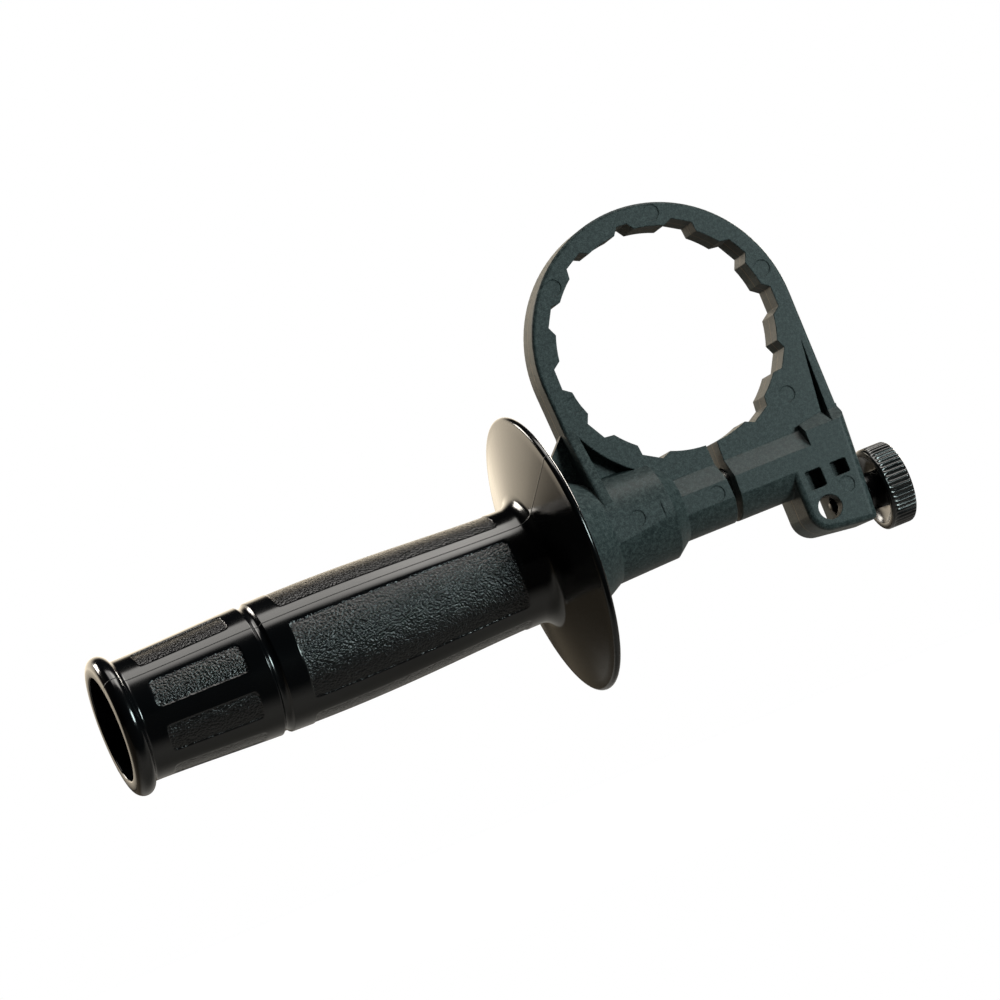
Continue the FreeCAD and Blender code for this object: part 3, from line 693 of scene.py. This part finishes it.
def grip_piece(sizes):
    """The hollow grip as one closed surface: a profile loop turned about the bolt's axis.

    Each point moves along its profile's normal by h exp(-(s / w)^2), the ridge of the parting
    line at s from its middle, less the sunk panels. The core pockets beside the hub push rows
    in by their depth within six sectors, and the nut's pocket has r(a) of a hexagon.
    """
    step = sizes.pad_edge / sizes.neck_radius
    seam_step = SEAM_WIDTH / sizes.neck_radius
    pads = [sizes.seam_angle + 2 * math.pi / sizes.pad_count * (i + 0.5)
            for i in range(sizes.pad_count)]
    shift = (sizes.pad_angle - sizes.short_pad_angle) / 2
    fields = [(middle, PAD_LONG, sizes.pad_angle) for middle in pads]
    fields += [(middle + turn, PAD_SHORT, sizes.short_pad_angle)
               for middle in pads for turn in (-shift, shift)]
    edges = [cluster(middle + side * width / 2, step / 2, 5)
             for middle, _, width in fields for side in (-1, 1)]
    seams = [sizes.seam_angle, sizes.seam_angle + math.pi]
    edges += [cluster(seam, seam_step, 7) for seam in seams]
    cores = np.arange(CORE_RIBS) * 2 * math.pi / CORE_RIBS
    edges += [cluster(middle + side * CORE_RIB_ANGLE / 2, CORE_LINE, 2)
              for middle in cores for side in (-1, 1)]
    angles = round_angles(GRIP_COLUMNS, edges)[None, :]

    groups = grip_outline(sizes)
    hub, outer, _, pocket, end = groups
    rows = np.concatenate(groups)
    x = np.repeat(rows[:, :1], angles.shape[1], axis=1)
    radius = np.repeat(rows[:, 1:], angles.shape[1], axis=1)
    hex_rows = slice(len(rows) - len(end) - len(pocket), len(rows) - len(end))
    radius[hex_rows] = hexagon_radius(angles, NUT_HIGH.y - NUT_LOW.y + 2 * NUT_GAP)

    half_sector = math.pi / CORE_RIBS
    from_rib = np.abs((angles + half_sector) % (2 * math.pi / CORE_RIBS) - half_sector)
    x[2:4] -= CORE_DEPTH * smooth_step(
        from_rib, CORE_RIB_ANGLE / 2 - CORE_STEP, CORE_RIB_ANGLE / 2 + CORE_STEP)

    run = np.gradient(outer, axis=0)
    run /= np.linalg.norm(run, axis=1, keepdims=True)
    out_x, out_r = run[:, 1:], -run[:, :1]
    at = slice(len(hub), len(hub) + len(outer))
    panel = np.zeros_like(x)
    here = radius[at]
    for middle, ends, width in fields:
        turn = (angles - middle + math.pi) % (2 * math.pi) - math.pi
        field = panel_depth(sizes, x[at], turn * here, here, ends, width)
        panel[at] = np.maximum(panel[at], field)
    panel[at] *= (outer[:, :1] < NECK_X + 0.5 * MM) & (outer[:, :1] > TAIL_X)
    ridge = np.zeros_like(x)
    for seam in seams:
        away = ((angles - seam + math.pi) % (2 * math.pi) - math.pi) * here
        ridge[at] += np.exp(-(away / (SEAM_WIDTH / 2)) ** 2)
    lift = SEAM_HEIGHT * ridge[at] - sizes.pad_depth * panel[at]
    x[at] += lift * out_x
    radius[at] += lift * out_r
    return turned_mesh("grip_moulding", turned_points(x, radius, angles, AXIS_Z), loop=True,
                       attributes={"panel": panel, "seam": ridge})


# Thumbscrew and threaded pieces

def knob_piece(sizes):
    """The ribbed knob: r(x, a) = min(envelope(x), R - depth * (1 - |cos(n a / 2)|) * fade(x)).

    n round ribs meet in sharp valleys, which fade out towards the knob's inner edge. This holds
    near the rim, and elsewhere r is the envelope's. The inner face has a dish and a hub.
    """
    outer_x = KNOB_HIGH.x
    inner_x = outer_x - KNOB_LENGTH
    radius_all = (KNOB_HIGH.y - KNOB_LOW.y) / 2
    rows = np.concatenate([
        [(outer_x, 0), (outer_x, radius_all * 0.5)],
        arc(outer_x - KNOB_CHAMFER, radius_all - KNOB_CHAMFER, KNOB_CHAMFER, 0, 90, 10),
        straight((outer_x - 1.2 * KNOB_CHAMFER, radius_all),
                 (inner_x + 1.2 * KNOB_EDGE, radius_all), RIB_STEP),
        arc(inner_x + KNOB_EDGE, radius_all - KNOB_EDGE, KNOB_EDGE, 90, 180, 7),
        arc(inner_x + KNOB_LIP, DISH_RADIUS + KNOB_LIP, KNOB_LIP, 180, 250, 5),
        [(inner_x + DISH_DEPTH, DISH_RADIUS - 2 * MM), (inner_x + DISH_DEPTH, KNOB_HUB)],
        [(KNOB_LOW.x + KNOB_EDGE, KNOB_HUB), (KNOB_LOW.x, KNOB_HUB - KNOB_EDGE)],
        [(KNOB_LOW.x, KNOB_HOLE), (STUD_HIGH.x + KNOB_GAP, KNOB_HOLE), (STUD_HIGH.x + KNOB_GAP, 0)],
    ])
    angles = round_angles(sizes.knob_ribs * COLUMNS_PER_RIB)[None, :]
    fade = smooth_step(rows[:, :1], inner_x + KNOB_EDGE, inner_x + 3 * KNOB_EDGE)
    valley = (1 - np.abs(np.cos(sizes.knob_ribs * angles / 2))) * fade
    envelope = rows[:, 1:]
    ribbed = np.minimum(envelope, radius_all - sizes.knob_rib_depth * valley)
    radius = np.where(envelope > radius_all * KNOB_RIM, ribbed, envelope)
    points = turned_points(rows[:, :1], radius, angles, SCREW_Z)
    return turned_mesh("thumbscrew_ribbed_knob", points)


def threaded_rows(start, finish, pitch):
    """Rows at equal distances along a thread, no more than a twelfth of its pitch apart."""
    count = int(math.ceil((finish - start) / (pitch / ROWS_PER_PITCH))) + 1
    return np.linspace(start, finish, count)


def tie_bolt_piece(sizes):
    """The clamping bolt: an M8 thread that fades into the shank, and a chamfered hexagon head.

    Its point is min(thread, R - p + s) at s from the end. The head is min(cone, hexagon), with
    cones of 30 degrees at both of its faces.
    """
    outer = BOLT_RADIUS
    flats = BOLT_HIGH.y - BOLT_LOW.y
    depth = THREAD_DEPTH * sizes.bolt_pitch
    end = BOLT_LOW.x
    head_x = BOLT_HIGH.x - BOLT_HEAD
    angles = round_angles(BOLT_COLUMNS)[None, :]
    thread_x = threaded_rows(end, end + BOLT_THREAD, sizes.bolt_pitch)[:, None]
    fade = smooth_step(end + BOLT_THREAD - thread_x, 0, 2 * sizes.bolt_pitch)
    thread = thread_radius(thread_x, angles, outer, sizes.bolt_pitch, depth * fade)
    thread = np.minimum(thread, outer - BOLT_POINT + (thread_x - end))
    hexagon = hexagon_radius(angles, flats)
    cone = flats / 2 - BOLT_CHAMFER
    corner = flats / 2 / math.cos(math.pi / 6)
    rise = (corner - cone) * math.tan(math.pi / 6)
    head = np.array([(head_x, cone), (head_x + rise, corner), (BOLT_HIGH.x - rise, corner),
                     (BOLT_HIGH.x, cone)])
    flat_rows = np.linspace(0, 1, 9)[1:, None]
    low_rows = head[0] + (head[1] - head[0]) * flat_rows
    high_rows = head[2] + (head[3] - head[2]) * flat_rows
    head = np.concatenate([head[:1], low_rows, head[2:3], high_rows])
    x = np.concatenate([[[end]], thread_x, [[head_x]], head[:, :1], [[BOLT_HIGH.x]]])
    ones = np.ones_like(angles)
    head_r = np.minimum(head[:, 1:], hexagon)
    radius = np.concatenate([0 * ones, thread, outer * ones, head_r, 0 * ones])
    points = turned_points(x, radius, angles, AXIS_Z)
    return turned_mesh("clamping_bolt", points, smooth_angle=THREAD_SMOOTH)


def stud_piece(sizes):
    """The thumbscrew's stud: an M5 thread, min(thread, R - p + s) at s from its pointed tip.

    It is plain inside the knob.
    """
    outer = (STUD_HIGH.y - STUD_LOW.y) / 2
    depth = THREAD_DEPTH * sizes.stud_pitch
    angles = round_angles(STUD_COLUMNS)[None, :]
    thread_end = KNOB_LOW.x + STUD_SHANK
    x = threaded_rows(STUD_LOW.x, thread_end, sizes.stud_pitch)[:, None]
    fade = smooth_step(thread_end - x, 0, sizes.stud_pitch)
    thread = thread_radius(x, angles, outer, sizes.stud_pitch, depth * fade)
    thread = np.minimum(thread, outer - STUD_POINT + (x - STUD_LOW.x))
    ones = np.ones_like(angles)
    x = np.concatenate([[[STUD_LOW.x]], x, [[STUD_HIGH.x], [STUD_HIGH.x]]])
    radius = np.concatenate([0 * ones, thread, outer * ones, 0 * ones])
    points = turned_points(x, radius, angles, SCREW_Z)
    return turned_mesh("thumbscrew_threaded_stud", points, smooth_angle=THREAD_SMOOTH)


# Operators

class SIDEHANDLE_OT_collar(bpy.types.Operator):
    """Give the moulded clamp collar its matte nylon finish"""

    bl_idname = "sidehandle.collar"
    bl_label = "Clamp collar"

    def execute(self, context):
        dress(NODES["collar"], plastic_nylon(context.scene.side_handle_colours))
        return {"FINISHED"}


class SIDEHANDLE_OT_grip(bpy.types.Operator):
    """Build the hollow grip with its guard, groove, bead and grained panels"""

    bl_idname = "sidehandle.grip"
    bl_label = "Grip"

    def execute(self, context):
        piece = grip_piece(context.scene.side_handle_sizes)
        dress(piece, plastic_grip(context.scene.side_handle_colours))
        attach(piece, "handle")
        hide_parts("grip")
        return {"FINISHED"}


class SIDEHANDLE_OT_fasteners(bpy.types.Operator):
    """Build the threaded clamping bolt and finish its nut and the brass insert"""

    bl_idname = "sidehandle.fasteners"
    bl_label = "Bolt, nut and insert"

    def execute(self, context):
        colours = context.scene.side_handle_colours
        zinc = bright_metal("zinc_steel_finish", colours.zinc, 0.26)
        bolt = tie_bolt_piece(context.scene.side_handle_sizes)
        dress(bolt, zinc)
        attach(bolt, "bolt")
        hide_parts("tie_bolt")
        dress(NODES["grip_nut"], zinc)
        dress(NODES["thread_insert"], bright_metal("insert_brass_finish", colours.brass, 0.3))
        return {"FINISHED"}


class SIDEHANDLE_OT_thumbscrew(bpy.types.Operator):
    """Build the ribbed knob and the threaded stud of the thumbscrew"""

    bl_idname = "sidehandle.thumbscrew"
    bl_label = "Thumbscrew"

    def execute(self, context):
        sizes = context.scene.side_handle_sizes
        colours = context.scene.side_handle_colours
        knob = knob_piece(sizes)
        dress(knob, plastic_knob(colours))
        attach(knob, "knob")
        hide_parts("thumbscrew_knob")
        stud = stud_piece(sizes)
        dress(stud, bright_metal("black_steel_finish", colours.black_steel, 0.32))
        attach(stud, "screw")
        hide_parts("thumbscrew_stud")
        return {"FINISHED"}


def area_lamp(name, direction, watts, colour):
    """A square lamp in that direction from the part, facing it."""
    lamp = bpy.data.lights.new(name, "AREA")
    lamp.size = LAMP_SIDE
    lamp.energy = watts
    lamp.color = colour
    piece = bpy.data.objects.new(name, lamp)
    bpy.context.scene.collection.objects.link(piece)
    towards = Vector(direction).normalized()
    piece.location = (CAD_BOX[0] + CAD_BOX[1]) / 2 + towards * LAMP_DISTANCE
    piece.rotation_euler = (-towards).to_track_quat("-Z", "Y").to_euler()
    piece.visible_camera = False


def studio_world(stage):
    """White to the camera; to all else a soft box above and a warm sheet behind, in the dark."""
    world = bpy.data.worlds.new("studio")
    tree = Tree(world)
    towards = tree.node("ShaderNodeTexCoord", output="Generated")
    x, y, z = (tree.axis(name, towards) for name in "XYZ")
    middle_x, middle_y = SOFT_BOX_MIDDLE
    across = tree.ramp(abs(x - middle_x), *SOFT_BOX_FADE_X)
    along = tree.ramp(abs(y - middle_y), *SOFT_BOX_FADE_Y)
    box = across * along * tree.ramp(z, *SOFT_BOX_FADE_Z)
    sheet = tree.ramp(y, *SHEET_FADE_Y) * tree.ramp(z, *SHEET_FOOT) * tree.ramp(z, *SHEET_TOP)
    glow = tree.mix_colour(sheet, DARK_ROOM, [c * stage.sheet for c in stage.backdrop])
    bright = box * tree.ramp(x, *SOFT_BOX_BRIGHTER)
    light = tree.mix_colour(bright, glow, [c * stage.soft_box for c in SOFT_BOX_COLOUR])
    path = tree.node("ShaderNodeLightPath", output="Is Camera Ray")
    seen = tree.mix_colour(path, light, WHITE)
    back = tree.node("ShaderNodeBackground", inputs={"Color": seen, "Strength": 1.0})
    tree.node("ShaderNodeOutputWorld", inputs={"Surface": back})
    bpy.context.scene.world = world


def floor_piece(colour):
    """A pale floor below the part: the disc with its rim at R (cos a, sin a).

    The camera sees it fade to white away from the part. All else sees painted shade: a floor dimmed near
    the part and darker away from it, with a dark patch of painted shade on it in front of the part.
    """
    angles = round_angles(FLOOR_CORNERS)
    points = np.zeros((len(angles), 3))
    points[:, 0] = FLOOR_RADIUS * np.cos(angles)
    points[:, 1] = FLOOR_RADIUS * np.sin(angles)
    points[:, 2] = CAD_BOX[0].z - FLOOR_GAP
    mesh = bpy.data.meshes.new("floor")
    mesh.from_pydata(points.tolist(), [], [list(range(len(angles)))])
    piece = bpy.data.objects.new("floor", mesh)
    bpy.context.scene.collection.objects.link(piece)
    material = bpy.data.materials.new("floor_paper")
    tree = Tree(material)
    place = tree.objects()
    away = tree.node("ShaderNodeVectorMath", {"operation": "LENGTH"}, {0: place}, "Value")
    # painted shade: a dark patch in front of the part, for all rays but the camera's
    painted_front_shade = tree.ramp(tree.axis("Y", place), *PAINTED_FRONT_SHADE_FADE)
    # painted shade: the floor that reflections and bounce light see, dimmed near the part and darker
    # away from it
    shaded_floor = tree.mix_colour(tree.ramp(away, *SHADED_FLOOR_FADE), SHADED_NEAR_FLOOR, SHADED_FAR_FLOOR)
    dim_colour = tree.mix_colour(painted_front_shade, shaded_floor, PAINTED_FRONT_SHADE)
    paper = tree.node("ShaderNodeBsdfDiffuse", inputs={"Color": rgba(colour)})
    dim = tree.node("ShaderNodeBsdfDiffuse", inputs={"Color": dim_colour})
    lift = tree.node("ShaderNodeEmission", inputs={"Color": rgba(WHITE), "Strength": FLOOR_LIFT})
    near = tree.node("ShaderNodeAddShader", inputs={0: paper, 1: lift})
    white = tree.node("ShaderNodeEmission", inputs={"Color": rgba(WHITE), "Strength": 1.0})
    fade = tree.ramp(away, *FLOOR_FADE)
    seen = tree.node("ShaderNodeMixShader", inputs={0: fade, 1: near, 2: white})
    camera = tree.node("ShaderNodeLightPath", output="Is Camera Ray")
    shader = tree.node("ShaderNodeMixShader", inputs={0: camera, 1: dim, 2: seen})
    tree.node("ShaderNodeOutputMaterial", inputs={"Surface": shader})
    dress(piece, material)
    return piece


class SIDEHANDLE_OT_stage(bpy.types.Operator):
    """Set the floor, the lamps, the pale surroundings and the camera"""

    bl_idname = "sidehandle.stage"
    bl_label = "Stage"

    def execute(self, context):
        stage = context.scene.side_handle_stage
        floor_piece(stage.floor)
        studio_world(stage)
        area_lamp("key_lamp", KEY_DIRECTION, stage.key_watts, KEY_COLOUR)
        area_lamp("back_left_lamp", BACK_LEFT, stage.back_watts, BACK_COLOUR)
        area_lamp("back_right_lamp", BACK_RIGHT, stage.back_watts, BACK_COLOUR)
        camera = bpy.data.cameras.new("camera")
        camera.lens = stage.lens
        camera.sensor_width = SENSOR_WIDTH
        camera.clip_start = CLIP_START
        eye = bpy.data.objects.new("camera", camera)
        eye.location = stage.camera_place
        eye.rotation_euler = [math.radians(turn) for turn in CAMERA_TURN]
        context.scene.collection.objects.link(eye)
        context.scene.camera = eye
        context.scene.view_settings.view_transform = "Standard"
        return {"FINISHED"}


class SIDEHANDLE_PT_panel(bpy.types.Panel):
    """The sizes, the colours and a button for each piece"""

    bl_idname = "SIDEHANDLE_PT_panel"
    bl_label = "Side Handle"
    bl_space_type = "VIEW_3D"
    bl_region_type = "UI"
    bl_category = "Side Handle"

    def draw(self, context):
        for operator in OPERATORS:
            self.layout.operator(operator.bl_idname)
        for settings in (context.scene.side_handle_sizes, context.scene.side_handle_colours,
                         context.scene.side_handle_stage):
            for name in settings.bl_rna.properties.keys():
                if name not in ("rna_type", "name"):
                    self.layout.prop(settings, name)


SETTINGS = (SideHandleSizes, SideHandleColours, SideHandleStage)
OPERATORS = (SIDEHANDLE_OT_collar, SIDEHANDLE_OT_grip, SIDEHANDLE_OT_fasteners,
             SIDEHANDLE_OT_thumbscrew, SIDEHANDLE_OT_stage)
CLASSES = SETTINGS + OPERATORS + (SIDEHANDLE_PT_panel,)


def register():
    for cls in CLASSES:
        bpy.utils.register_class(cls)
    bpy.types.Scene.side_handle_sizes = PointerProperty(type=SideHandleSizes)
    bpy.types.Scene.side_handle_colours = PointerProperty(type=SideHandleColours)
    bpy.types.Scene.side_handle_stage = PointerProperty(type=SideHandleStage)


def unregister():
    del bpy.types.Scene.side_handle_stage
    del bpy.types.Scene.side_handle_colours
    del bpy.types.Scene.side_handle_sizes
    for cls in reversed(CLASSES):
        bpy.utils.unregister_class(cls)


def main():
    register()
    bpy.ops.sidehandle.collar()
    bpy.ops.sidehandle.grip()
    bpy.ops.sidehandle.fasteners()
    bpy.ops.sidehandle.thumbscrew()
    bpy.ops.sidehandle.stage()


if __name__ == "__main__":
    main()
